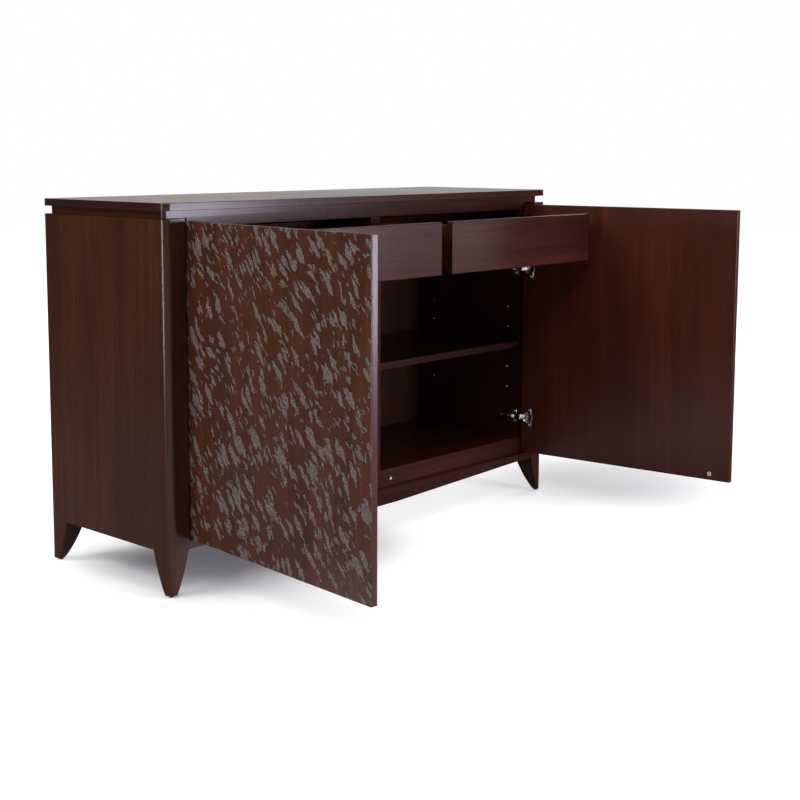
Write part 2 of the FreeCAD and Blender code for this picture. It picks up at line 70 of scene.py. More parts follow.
# Grain layers: scale, how far each is drawn out along the board, noise detail and noise roughness
GRAIN_LAYERS = {
    "Band": (14.0, 0.09, 3.0, 0.6),
    "Streak": (110.0, 0.025, 4.0, 0.65),
    "Pore": (620.0, 0.05, 1.0, 0.4),
}
PORE_EDGES = (0.60, 0.74)

# How the grain's layers make the wood's tone
BAND_SHARE = 0.6
STREAK_SHARE = 0.4
FIGURE_EDGES = (0.36, 0.62)
WARM_BANDS = (0.48, 0.68)
WARM_STREAKS = (0.46, 0.66)
WARM_STRENGTH = 0.55
PORE_STRENGTH = 0.35

# Which way the grain runs: the turn that lays it along Z, and its direction on the piece
GRAIN_TURN = {
    "upright": (0.0, 0.0, 0.0),
    "across": (0.0, math.radians(90), 0.0),
    "deep": (math.radians(90), 0.0, 0.0),
}
GRAIN_WAY = {"upright": (0.0, 0.0, 1.0), "across": (1.0, 0.0, 0.0), "deep": (0.0, 1.0, 0.0)}

# How far a board's figure slides on each axis, for each unit of its shift
SLIDE = (1.0, 0.7, 1.3)

# Lacquered wood
PORE_DEPTH = 0.5
PEEL_HEIGHT = 0.6
WOOD_SPECULAR = 0.28
CUT_END_EDGES = (0.6, 0.95)
CUT_END_STAIN = 0.55

# Flecks on the door sheets: metres along and across a stroke, and the share of its cell that it fills
LEAF_LENGTH = 0.078
LEAF_WIDTH = 0.0215
LEAF_REACH = (0.08, 0.46)
CHIP_LENGTH = 0.030
CHIP_WIDTH = 0.0110
CHIP_REACH = (-0.45, 0.44)
CHIP_SHARE = 0.55
CHIP_OFFSET = (0.37, 0.21, 0.0)
FLECK_ROUNDNESS = 1.35
FLECK_SCATTER = 0.92

# The flecks' lean in degrees, its drift over the sheet in radians, and the height that they lean about
FLECK_LEAN = 58.0
LEAN_DRIFT = 0.55
LEAN_HEIGHT = 0.5

# The flecks' cut: its depth in metres, its edge, and the dark rim outside it, a painted shadow round each
# fleck
FLECK_DEPTH = 0.0008
FLECK_EDGES = (-0.012, 0.012)
RIM_SHADOW_EDGES = (-0.085, -0.015)
RIM_SHADOW_STRENGTH = 0.75
RIM_SHADOW_TONE = "1a0b06"

# The grit that fills the flecks
GRIT_TONES = ("786c62", "3f3832")
GRIT_EDGES = (0.30, 0.66)
PEBBLE_SHARE = 0.6
MOTTLE_SHARE = 0.5
GRIT_HEIGHT = 0.35
GRIT_ROUGHER = 0.3
DEEP_TAUPE = "50473e"
DEEP_STRENGTH = 0.25
SHEET_PEEL = 0.06
SHEET_SPECULAR = 0.32

# Eased edges, with the angles in degrees past which an edge is cut and then stays sharp
ARRIS = 0.0011
PLATE_EDGE = 0.0006
CUP_EDGE = 0.0004
CUT_ANGLE = 35.0
SHARP_ANGLE = 40.0
BOARD_SHARP_ANGLE = 18.0
ARM_SHARP_ANGLE = 38.0

# Corners nearer than this to each other are one, in metres
MERGE = 1e-6

# Screw heads, with the dome's radius and the slots' length as shares of the head's radius
HEAD_RADIUS = 0.0036
HEAD_HEIGHT = 0.0017
HEAD_SEAT = 0.0016
HEAD_SIDES = 28
DOME_SHARE = 1.9
SLOT_SHARE = 1.15
SLOT_WIDTH = 0.0011
SLOT_DEPTH = 0.0012
ADJUSTER_RADIUS = 0.0030
ADJUSTER_SINK = 0.0008
ADJUSTER_PLACES = (0.58, 0.86)

# Hinge arms, with the stops of the straight run as shares of its reach
ARM_OUT = 0.01775
ARM_THICK = 0.0024
ARM_NOSE = 0.0018
ARM_FOOT = 0.0048
ARM_KNEE = 0.0112
ARM_BEND = 0.0016
ARM_BEND_STEPS = 5
ARM_STOPS = (0.33, 0.5, 1.0)
ARM_TALL = 0.0085
ARM_EYE_TALL = 0.0060
ARM_CORNER = 0.0007
EYE_OUTER = 0.0028
EYE_INNER = 0.0016
EYE_SIDES = 24

# Covers on the arms. The profile gives shares of a cover's length and of its rise
COVER_START = 0.36
COVER_RISE = 0.0060
COVER_SINK = 0.0006
COVER_SKIRT = 0.0004
COVER_STEPS = 16
COVER_FLATNESS = 7
COVER_CROWN = 0.14
COVER_PROFILE = (
    (0, 0.02), (0.04, 0.2), (0.14, 0.72), (0.2, 0.93), (0.27, 1),
    (0.9, 1), (0.96, 0.96), (0.99, 0.84), (1, 0.6),
)

# Cup flanges
FLANGE_BEVEL = 0.0014
FLANGE_WIDE = 0.0064

# Shelf-pin sleeves
SLEEVE_OUTER = 0.0035
SLEEVE_BORE = 0.00255
SLEEVE_LIP = 0.0046
SLEEVE_RISE = 0.0007
SLEEVE_LENGTH = 0.0088
SLEEVE_SIDES = 24
LIP_SIDES = 10

# How near to its face or rim a corner of a solid lies
NEAR_FACE = 0.0002

# Camera, with its heading and tilt in degrees, and its lens and sensor in millimetres
CAMERA_PLACE = (-2.827, -2.504, 1.094)
CAMERA_HEADING = 46.55
CAMERA_TILT = -7.05
CAMERA_LENS = 62.5
CAMERA_SENSOR = 36.0
CAMERA_SHIFT = (0.05, -0.10)

# Lamps: name, place, the point it looks at, size, watts and tint
MIDDLE = (0.0, 0.0, 0.5)
DAYLIGHT = (1.0, 0.98, 0.96)
LAMPS = (
    ("key lamp", (-5.5, 2.8, 5.0), MIDDLE, (3.0, 3.0), 285.0, DAYLIGHT),
    ("second key lamp", (-5.2, -3.4, 5.2), MIDDLE, (2.0, 2.0), 150.0, DAYLIGHT),
    ("front lamp", (1.25, -3.4, 0.74), (-0.5, 0.0, 0.8), (1.6, 0.95), 125.0, (0.84, 0.80, 1.0)),
    ("second front lamp", (3.5, -3.2, 0.7), (-0.2, 0.0, 0.8), (1.2, 0.9), 4.5, (1.0, 0.84, 0.90)),
    ("fill lamp", (-1.5, -5.0, 1.7), MIDDLE, (1.6, 1.6), 14.0, DAYLIGHT),
    ("corner lamp", (-4.6, 0.0, 0.52), (-0.75, 0.1, 0.5), (0.5, 1.1), 60.0, (0.92, 0.90, 1.0)),
    ("right lamp", (5.4, 0.8, 2.4), MIDDLE, (2.0, 2.0), 80.0, DAYLIGHT),
    ("top lamp", (-0.3, -0.4, 6.0), MIDDLE, (5.0, 5.0), 210.0, (1.0, 1.0, 1.0)),
)

# The backdrop that gloss mirrors, bright in one part of the room, and the low light from all round
BACKDROP_EDGES = (0.45, 0.85)
BACKDROP_LEVELS = (0.06, 0.70)
SOFT_LIGHT = 0.12

# Floor, with its greys for the eye, for the light it passes on, and for gloss
FLOOR_HALF = 14.0
SEEN_GREY = 0.62
BOUNCED_GREY = 0.42
MIRRORED_GREY = 0.05
FLOOR_ROUGHNESS = 0.9

# The floor's glow for the eye, with painted shadow: least in painted deep shade under the case's left end,
# full away from the case
PAINTED_SHADE_MIDDLE = (-0.42, 0.27, 0.0)
PAINTED_SHADE_HALF = (0.18, 0.08, 0.0)
PAINTED_SHADE_FADE = (0.0, 0.42)
PAINTED_SHADE_LEVELS = (0.02, 0.78)

# Round patches of the floor's glow, those by the doors painted shadows: middle, the distances between
# which it changes, and its two levels
PAINTED_SHADE_BY_RIGHT_DOOR = ((1.02, 0.0, 0.0), (0.1, 0.62), (0.30, 1.0))
PAINTED_SHADE_BY_LEFT_DOOR = ((-0.68, -0.22, 0.0), (0.02, 0.38), (0.60, 1.0))
AWAY_FROM_CASE = ((0.6, 0.6, 0.0), (1.0, 2.6), (0.0, 1.0))

# The floor's glow for gloss, a painted reflection: bright in a sector before the left corner, pale in a
# patch left of the case
SECTOR_START = (0.3, 0.5, 0.0)
SECTOR_WAY = (-0.66, -0.75, 0.0)
SECTOR_EDGES = (0.84, 0.94)
SECTOR_LEVELS = (0.05, 0.95)
PAINTED_GLOSS_PATCH = ((-1.45, 0.95, 0.0), (0.5, 2.2), (0.20, 0.05))

# Kinds of socket
FLOAT = "NodeSocketFloat"
VECTOR = "NodeSocketVector"
GEOMETRY = "NodeSocketGeometry"


# Helpers for node trees


def colour(code):
    """A colour written as six hex digits, as the linear values that a shader takes."""
    channels = [int(code[i : i + 2], 16) / 255 for i in (0, 2, 4)]
    linear = [c / 12.92 if c <= 0.04045 else ((c + 0.055) / 1.055) ** 2.4 for c in channels]
    return (*linear, 1.0)


def grey(level):
    return (level, level, level, 1.0)


def feed(tree, socket, value):
    """Gives a socket another node's output, or a plain value."""
    if isinstance(value, bpy.types.NodeSocket):
        tree.links.new(value, socket)
    else:
        socket.default_value = value


def fill(tree, node, **inputs):
    """Feeds a node's sockets, named with underscores for spaces."""
    for key, value in inputs.items():
        feed(tree, node.inputs[key.replace("_", " ")], value)


def add(tree, kind, inputs=None, **settings):
    """Adds a node, sets it up, and feeds its inputs by name or number."""
    node = tree.nodes.new(kind)
    for key, value in settings.items():
        setattr(node, key, value)
    for key, value in (inputs or {}).items():
        feed(tree, node.inputs[key], value)
    return node


def calc(tree, operation, *values):
    """One step of arithmetic."""
    return add(tree, "ShaderNodeMath", dict(enumerate(values)), operation=operation).outputs[0]


def vector_calc(tree, operation, *values, **named):
    """One step of arithmetic on vectors."""
    inputs = {**dict(enumerate(values)), **named}
    node = add(tree, "ShaderNodeVectorMath", inputs, operation=operation)
    is_number = operation in ("DISTANCE", "DOT_PRODUCT", "LENGTH")
    return node.outputs["Value" if is_number else "Vector"]


def ramp(tree, value, low, high, to_low=0.0, to_high=1.0):
    """A smooth step of a value between two limits."""
    inputs = {"Value": value, "From Min": low, "From Max": high, "To Min": to_low, "To Max": to_high}
    return add(tree, "ShaderNodeMapRange", inputs, interpolation_type="SMOOTHSTEP").outputs["Result"]


def noise(tree, vector, scale, detail=2.0, roughness=0.5, output="Fac"):
    inputs = {"Vector": vector, "Scale": scale, "Detail": detail, "Roughness": roughness}
    return add(tree, "ShaderNodeTexNoise", inputs).outputs[output]


def nudged(tree, vector, scale, detail, roughness, amount):
    """Moves each place a little, by a noise of its own."""
    cloud = noise(tree, vector, scale, detail, roughness, output="Color")
    centred = vector_calc(tree, "SUBTRACT", cloud, (0.5, 0.5, 0.5))
    return vector_calc(tree, "ADD", vector, vector_calc(tree, "SCALE", centred, Scale=amount))


def blend(tree, factor, first, second):
    """Mixes two colours."""
    node = add(tree, "ShaderNodeMix", data_type="RGBA")
    for index, value in ((0, factor), (6, first), (7, second)):
        feed(tree, node.inputs[index], value)
    return node.outputs[2]


def bumped(tree, height, strength, distance):
    """The surface's slope under a pattern of heights."""
    inputs = {"Height": height, "Strength": strength, "Distance": distance}
    return add(tree, "ShaderNodeBump", inputs).outputs[0]


def new_group(name, inputs, outputs, kind="ShaderNodeTree"):
    """An empty node group with named sockets. Returns its tree, what it is given and what it makes."""
    tree = bpy.data.node_groups.new(name, kind)
    for label, socket_type, value in inputs:
        socket = tree.interface.new_socket(label, in_out="INPUT", socket_type=socket_type)
        if value is not None:
            socket.default_value = value
    for label, socket_type in outputs:
        tree.interface.new_socket(label, in_out="OUTPUT", socket_type=socket_type)
    given = tree.nodes.new("NodeGroupInput").outputs
    made = tree.nodes.new("NodeGroupOutput").inputs
    return tree, given, made


def use(tree, group, **inputs):
    """Places a group in a material."""
    node = add(tree, "ShaderNodeGroup", node_tree=group)
    fill(tree, node, **inputs)
    return node.outputs


def stand(name, data):
    """Puts a mesh, a lamp or a camera in the scene."""
    thing = bpy.data.objects.new(name, data)
    bpy.context.scene.collection.objects.link(thing)
    return thing


# Shared effects


def make_grain():
    """Straight-grained veneer: broad bands, fine streaks and short open pores, all drawn out along Z."""
    scales = [(label + " scale", FLOAT, layer[0]) for label, layer in GRAIN_LAYERS.items()]
    layers = [(label, FLOAT) for label in GRAIN_LAYERS]
    tree, given, made = new_group("straight grain", [("Vector", VECTOR, None), *scales], layers)
    swayed = nudged(tree, given["Vector"], scale=2.2, detail=1.0, roughness=0.5, amount=0.022)
    for label, (_, share, detail, roughness) in GRAIN_LAYERS.items():
        drawn_out = vector_calc(tree, "MULTIPLY", swayed, (1.0, 1.0, share))
        layer = noise(tree, drawn_out, given[label + " scale"], detail, roughness)
        if label == "Pore":
            layer = ramp(tree, layer, *PORE_EDGES)
        feed(tree, made[label], layer)
    return tree


def make_lacquer():
    """The sprayed skin over the wood: a faint orange peel, and sheen that varies from place to place."""
    inputs = [("Vector", VECTOR, None), ("Peel scale", FLOAT, 210.0), ("Base roughness", FLOAT, 0.34)]
    tree, given, made = new_group("satin lacquer", inputs, [("Height", FLOAT), ("Roughness", FLOAT)])
    peel = noise(tree, given["Vector"], given["Peel scale"], roughness=0.55)
    cloud = noise(tree, given["Vector"], scale=3.5)
    spread = ramp(tree, cloud, 0.25, 0.75, to_low=-0.02, to_high=0.025)
    feed(tree, made["Height"], peel)
    feed(tree, made["Roughness"], calc(tree, "ADD", given["Base roughness"], spread))
    return tree


def make_flecks():
    """One layer of leaf-shaped flecks: how far inside its fleck a point lies, and the fleck's own tone."""
    tree, given, made = new_group(
        "leaf flecks",
        [
            ("Vector", VECTOR, None),
            ("Length", FLOAT, LEAF_LENGTH),
            ("Width", FLOAT, LEAF_WIDTH),
            ("Smallest", FLOAT, LEAF_REACH[0]),
            ("Largest", FLOAT, LEAF_REACH[1]),
        ],
        [("Inside", FLOAT), ("Tone", FLOAT)],
    )
    ragged = nudged(tree, given["Vector"], scale=38.0, detail=3.0, roughness=0.62, amount=0.030)
    parts = add(tree, "ShaderNodeSeparateXYZ", {0: ragged}).outputs
    along = calc(tree, "DIVIDE", parts["X"], given["Length"])
    across = calc(tree, "DIVIDE", parts["Y"], given["Width"])
    flat = add(tree, "ShaderNodeCombineXYZ", {"X": along, "Y": across}).outputs[0]
    inputs = {"Vector": flat, "Scale": 1.0, "Exponent": FLECK_ROUNDNESS, "Randomness": FLECK_SCATTER}
    settings = {"voronoi_dimensions": "2D", "distance": "MINKOWSKI"}
    cells = add(tree, "ShaderNodeTexVoronoi", inputs, **settings).outputs
    chance = add(tree, "ShaderNodeSeparateColor", {0: cells["Color"]}).outputs
    span = calc(tree, "SUBTRACT", given["Largest"], given["Smallest"])
    reach = calc(tree, "MULTIPLY_ADD", chance["Red"], span, given["Smallest"])
    feed(tree, made["Inside"], calc(tree, "SUBTRACT", reach, cells["Distance"]))
    feed(tree, made["Tone"], chance["Green"])
    return tree


GRAIN = make_grain()
LACQUER = make_lacquer()
FLECKS = make_flecks()


# Materials


def start(name):
    """A material with its shader, and the piece's own coordinates."""
    material = bpy.data.materials.new(name)
    material.use_nodes = True
    tree = material.node_tree
    place = tree.nodes.new("ShaderNodeTexCoord").outputs["Object"]
    return material, tree, tree.nodes["Principled BSDF"], place


def veneer_tone(tree, place, stain, bands):
    """The stained wood's colour, and the grain that it came from."""
    dark, middle, light = [colour(tone) for tone in stain]
    grain = use(tree, GRAIN, Vector=place, Band_scale=bands)
    streaks = calc(tree, "MULTIPLY", grain["Streak"], STREAK_SHARE)
    figure = calc(tree, "MULTIPLY_ADD", grain["Band"], BAND_SHARE, streaks)
    body = blend(tree, ramp(tree, figure, *FIGURE_EDGES), dark, middle)
    warm_bands = ramp(tree, grain["Band"], *WARM_BANDS)
    warm_streaks = ramp(tree, grain["Streak"], *WARM_STREAKS)
    warm = calc(tree, "MULTIPLY", warm_bands, warm_streaks)
    body = blend(tree, calc(tree, "MULTIPLY", warm, WARM_STRENGTH), body, light)
    pores = calc(tree, "MULTIPLY", grain["Pore"], PORE_STRENGTH)
    return blend(tree, pores, body, colour(PORE_TONE)), grain


def cut_ends(tree, turn):
    """How far a face looks along the grain, where the cut wood drinks more stain and shines less."""
    facing = tree.nodes.new("ShaderNodeTexCoord").outputs["Normal"]
    along = vector_calc(tree, "DOT_PRODUCT", facing, GRAIN_WAY[turn])
    return ramp(tree, calc(tree, "ABSOLUTE", along), *CUT_END_EDGES)


def veneer(name, stain, turn, shift, roughness=0.26, bands=14.0, end_rough=0.06):
    """Stained veneer under satin lacquer. shift slides the figure, so neighbouring boards differ."""
    material, tree, shader, place = start(name)
    slide = [shift * share for share in SLIDE]
    turned = {"Vector": place, "Rotation": GRAIN_TURN[turn], "Location": slide}
    board = add(tree, "ShaderNodeMapping", turned).outputs[0]
    tone, grain = veneer_tone(tree, board, stain, bands)
    ends = cut_ends(tree, turn)
    tone = blend(tree, calc(tree, "MULTIPLY", ends, CUT_END_STAIN), tone, colour(CUT_END_TONE))
    skin = use(tree, LACQUER, Vector=place, Base_roughness=roughness)
    rough = calc(tree, "MULTIPLY_ADD", ends, end_rough, skin["Roughness"])
    peel = calc(tree, "MULTIPLY", skin["Height"], PEEL_HEIGHT)
    height = calc(tree, "MULTIPLY_ADD", grain["Pore"], -PORE_DEPTH, peel)
    normal = bumped(tree, height, strength=0.10, distance=0.0006)
    fill(tree, shader, Base_Color=tone, Roughness=rough, Normal=normal)
    fill(tree, shader, Specular_IOR_Level=WOOD_SPECULAR)
    return material


def door_turn(side, degrees):
    """The turn that swings a door open by so many degrees."""
    return Matrix.Rotation(math.radians(degrees * SIDE_SIGN[side]), 3, "Z")


def swung_shut(tree, place, side):
    """Where a point of an open door lies when the door is shut."""
    turn = door_turn(side, -DOOR_OPEN)
    pivot = PIVOTS[side]
    swing = {"Vector": place, "Rotation": turn.to_euler(), "Location": pivot - turn @ pivot}
    return add(tree, "ShaderNodeMapping", swing).outputs[0]


def lay_flecks(tree, shut, side):
    """The flecks on a shut door: inside one, in the painted shadow on the rim round one, and each one's
    own tone.
    """
    parts = add(tree, "ShaderNodeSeparateXYZ", {0: shut}).outputs
    flat = add(tree, "ShaderNodeCombineXYZ", {"X": parts["X"], "Y": parts["Z"]}).outputs[0]
    drift = calc(tree, "SUBTRACT", noise(tree, shut, scale=3.1, detail=1.0), 0.5)
    lean = calc(tree, "MULTIPLY_ADD", drift, LEAN_DRIFT, math.radians(FLECK_LEAN))
    centre = (PIVOTS[side].x / 2, LEAN_HEIGHT, 0.0)
    turned = {"Vector": flat, "Center": centre, "Angle": lean}
    leaned = add(tree, "ShaderNodeVectorRotate", turned, rotation_type="Z_AXIS").outputs[0]

    leaves = use(tree, FLECKS, Vector=leaned)
    apart = vector_calc(tree, "ADD", leaned, CHIP_OFFSET)
    smallest, largest = CHIP_REACH
    sizes = {"Length": CHIP_LENGTH, "Width": CHIP_WIDTH, "Smallest": smallest, "Largest": largest}
    chips = use(tree, FLECKS, Vector=apart, **sizes)
    small = calc(tree, "MULTIPLY", chips["Inside"], CHIP_SHARE)
    reach = calc(tree, "MAXIMUM", leaves["Inside"], small)
    inside = ramp(tree, reach, *FLECK_EDGES)
    outside = calc(tree, "SUBTRACT", 1.0, inside)
    # Painted shadow: a dark rim in the wood just outside each fleck
    rim = calc(tree, "MULTIPLY", ramp(tree, reach, *RIM_SHADOW_EDGES), outside)
    return inside, rim, leaves["Tone"]


def flecked_sheet(side):
    """The door's outer sheet: red-brown veneer with taupe leaf flecks cut a little into it, and a painted
    shadow round each.
    """
    material, tree, shader, place = start(side + " flecked sheet")
    shut = swung_shut(tree, place, side)
    inside, rim, fleck_tone = lay_flecks(tree, shut, side)

    wood, _ = veneer_tone(tree, shut, SHEET_STAIN, bands=11.0)
    # The painted shadow round each fleck darkens the wood
    edged = blend(tree, calc(tree, "MULTIPLY", rim, RIM_SHADOW_STRENGTH), wood, colour(RIM_SHADOW_TONE))
    pebble = add(tree, "ShaderNodeTexVoronoi", {"Vector": shut, "Scale": 330.0}).outputs["Distance"]
    mottle = noise(tree, shut, scale=420.0, detail=3.0, roughness=0.7)
    grit = calc(tree, "MULTIPLY_ADD", pebble, PEBBLE_SHARE, calc(tree, "MULTIPLY", mottle, MOTTLE_SHARE))
    pale, dark = [colour(tone) for tone in GRIT_TONES]
    taupe = blend(tree, ramp(tree, grit, *GRIT_EDGES), pale, dark)
    toned = blend(tree, calc(tree, "MULTIPLY", fleck_tone, DEEP_STRENGTH), taupe, colour(DEEP_TAUPE))
    base = blend(tree, inside, edged, toned)

    skin = use(tree, LACQUER, Vector=place, Base_roughness=0.36)
    rough = calc(tree, "MULTIPLY_ADD", inside, GRIT_ROUGHER, skin["Roughness"])
    grit_level = calc(tree, "MULTIPLY_ADD", grit, GRIT_HEIGHT, -1.0)
    cut = calc(tree, "MULTIPLY_ADD", inside, grit_level, 1.0)
    level = calc(tree, "MULTIPLY_ADD", skin["Height"], SHEET_PEEL, cut)
    normal = bumped(tree, level, strength=0.8, distance=FLECK_DEPTH)
    fill(tree, shader, Base_Color=base, Roughness=rough, Normal=normal)
    fill(tree, shader, Specular_IOR_Level=SHEET_SPECULAR)
    return material


def metal(name, tone, roughness):
    """Plated steel with faint uneven polish."""
    material, tree, shader, place = start(name)
    cloud = noise(tree, place, scale=60.0, detail=4.0, roughness=0.6)
    brushed = noise(tree, place, scale=900.0)
    rough = ramp(tree, cloud, 0.3, 0.7, to_low=roughness - 0.03, to_high=roughness + 0.06)
    shade = blend(tree, ramp(tree, cloud, 0.35, 0.75), colour(tone), colour(DULLED_TONE))
    normal = bumped(tree, brushed, strength=0.06, distance=0.0002)
    fill(tree, shader, Base_Color=shade, Roughness=rough, Normal=normal, Metallic=1.0)
    return material


def plastic(name, tones, roughness):
    """Moulded plastic with a fine spark texture."""
    material, tree, shader, place = start(name)
    first, second = [colour(tone) for tone in tones]
    spark = noise(tree, place, scale=1400.0)
    cloud = noise(tree, place, scale=40.0, detail=3.0)
    shade = blend(tree, ramp(tree, cloud, 0.35, 0.7), first, second)
    rough = ramp(tree, cloud, 0.3, 0.7, to_low=roughness - 0.05, to_high=roughness + 0.05)
    normal = bumped(tree, spark, strength=0.15, distance=0.0002)
    fill(tree, shader, Base_Color=shade, Roughness=rough, Normal=normal)
    return material


# Finishes of the nodes

dressed = set()


def dress(material, names):
    """Gives CAD nodes a material and notes them as done."""
    for name in names:
        mesh = nodes[name].data
        mesh.materials.clear()
        mesh.materials.append(material)
        dressed.add(name)


def pair(*names):
    """The left and the right one of each piece."""
    return [side + "_" + name for side in SIDES for name in names]


def dress_case():
    dress(veneer("top veneer", OUTER_STAIN, "across", 0.0), ["top_slab"])
    dress(veneer("leg wood", OUTER_STAIN, "upright", 1.7, roughness=0.23), pair("front_leg", "back_leg"))
    dress(veneer("side veneer", OUTER_STAIN, "upright", 3.1), pair("side_panel"))
    dress(veneer("neck side wood", OUTER_STAIN, "deep", 4.3), pair("neck"))
    dress(veneer("neck back wood", OUTER_STAIN, "across", 4.9), ["neck_back", "apron_back"])
    dress(veneer("front rail wood", FRONT_STAIN, "across", 5.6), ["front_top_rail"])
    dress(veneer("apron wood", FRONT_STAIN, "across", 6.8), ["apron_front"])
    dress(veneer("base rail wood", FRONT_STAIN, "across", 7.9), ["base_rail"])
    dress(veneer("inner side veneer", INNER_STAIN, "upright", 8.8), pair("inner_side"))
    dress(veneer("partition veneer", INNER_STAIN, "upright", 9.7), ["centre_partition"])
    dress(veneer("board veneer", INNER_STAIN, "across", 10.4), ["bottom_board", "case_top_panel"])
    dress(veneer("shelf veneer", INNER_STAIN, "across", 11.5), pair("shelf"))
    dress(veneer("spacer wood", INNER_STAIN, "deep", 12.1), pair("drawer_spacer"))
    dress(veneer("back veneer", INNER_STAIN, "upright", 13.3, roughness=0.42), ["back_panel"])


def dress_drawers():
    for side, shift in (("left", 14.2), ("right", 15.9)):
        front = veneer(side + " drawer veneer", DRAWER_STAIN, "across", shift, roughness=0.23, bands=9.0)
        dress(front, [side + "_drawer_front"])
    walls = pair("drawer_inner_wall", "drawer_outer_wall")
    dress(veneer("drawer side wood", INNER_STAIN, "deep", 16.6), walls)
    dress(veneer("drawer back wood", INNER_STAIN, "across", 17.5), pair("drawer_back"))
    floors = pair("drawer_floor")
    dress(veneer("drawer floor veneer", INNER_STAIN, "across", 18.3, roughness=0.45), floors)


def dress_doors():
    for side, shift in (("left", 19.4), ("right", 21.2)):
        core = veneer(side + " door veneer", DOOR_STAIN, "upright", shift, roughness=0.30, end_rough=0.4)
        dress(core, [side + "_door_core"])
        dress(flecked_sheet(side), [side + "_door_face"])


def dress_hardware():
    nickel = metal("nickel plate", NICKEL_TONE, roughness=0.20)
    zinc = metal("zinc plate", ZINC_TONE, roughness=0.34)
    dress(nickel, ["hinge_arms", "hinge_plates", "hinge_plate_screws", "pin_sleeves"])
    dress(nickel, pair("hinge_cups", "cup_screws", "strike"))
    dress(zinc, pair("cabinet_runners", "middle_runners", "drawer_runners") + ["shelf_pins"])
    dress(plastic("black plastic", BLACK_TONES, roughness=0.45), ["glides", "latch_barrels"])
    dress(plastic("white plastic", WHITE_TONES, roughness=0.38), pair("latch_plunger"))
    return nickel


# Small pieces that repeat over their seats


def set_on_seats(tree, given, made, shape, material):
    """Ends a geometry tree: a shape on every seat, turned to face the way that the seat says."""
    facing = add(tree, "GeometryNodeInputNamedAttribute", {"Name": "facing"}, data_type="FLOAT_VECTOR")
    turn = add(tree, "FunctionNodeAlignRotationToVector", {"Vector": facing.outputs[0]}, axis="Z")
    inputs = {"Points": given["Seats"], "Instance": shape, "Rotation": turn.outputs[0]}
    placed = add(tree, "GeometryNodeInstanceOnPoints", inputs)
    solid = add(tree, "GeometryNodeRealizeInstances", {"Geometry": placed.outputs[0]})
    inputs = {"Geometry": solid.outputs[0], "Material": material}
    feed(tree, made[0], add(tree, "GeometryNodeSetMaterial", inputs).outputs[0])


def raised(tree, shape, height):
    """Moves a shape along Z."""
    lift = add(tree, "ShaderNodeCombineXYZ", {"Z": height}).outputs[0]
    return add(tree, "GeometryNodeTransform", {"Geometry": shape, "Translation": lift}).outputs[0]


def screw_tree(nickel):
    """A geometry tree that sets a domed head with a cross recess on every seat."""
    tree, given, made = new_group(
        "cross-head screws",
        [
            ("Seats", GEOMETRY, None),
            ("Head radius", FLOAT, HEAD_RADIUS),
            ("Head height", FLOAT, HEAD_HEIGHT),
            ("Slot width", FLOAT, SLOT_WIDTH),
            ("Slot depth", FLOAT, SLOT_DEPTH),
        ],
        [("Heads", GEOMETRY)],
        kind="GeometryNodeTree",
    )
    radius, height = given["Head radius"], given["Head height"]
    drum_tall = calc(tree, "MULTIPLY", height, 2.0)
    inputs = {"Vertices": HEAD_SIDES, "Radius": radius, "Depth": drum_tall}
    drum = add(tree, "GeometryNodeMeshCylinder", inputs)
    dome_radius = calc(tree, "MULTIPLY", radius, DOME_SHARE)
    ball = add(tree, "GeometryNodeMeshUVSphere", {"Segments": 40, "Rings": 24, "Radius": dome_radius})
    sunk = raised(tree, ball.outputs["Mesh"], calc(tree, "SUBTRACT", height, dome_radius))
    dome = add(tree, "GeometryNodeMeshBoolean", operation="INTERSECT", solver="EXACT")
    feed(tree, dome.inputs["Mesh 2"], drum.outputs["Mesh"])
    feed(tree, dome.inputs["Mesh 2"], sunk)

    slot_wide = given["Slot width"]
    slot_long = calc(tree, "MULTIPLY", radius, SLOT_SHARE)
    slot_tall = calc(tree, "MULTIPLY", given["Slot depth"], 2.0)
    bars = add(tree, "GeometryNodeJoinGeometry")
    for x, y in ((slot_long, slot_wide), (slot_wide, slot_long)):
        size = add(tree, "ShaderNodeCombineXYZ", {"X": x, "Y": y, "Z": slot_tall}).outputs[0]
        bar = add(tree, "GeometryNodeMeshCube", {"Size": size}).outputs["Mesh"]
        feed(tree, bars.inputs["Geometry"], raised(tree, bar, height))
    head = add(tree, "GeometryNodeMeshBoolean", operation="DIFFERENCE", solver="EXACT")
    feed(tree, head.inputs["Mesh 1"], dome.outputs["Mesh"])
    feed(tree, head.inputs["Mesh 2"], bars.outputs[0])
    feed(tree, head.inputs["Self Intersection"], True)
    set_on_seats(tree, given, made, head.outputs["Mesh"], nickel)
    return tree


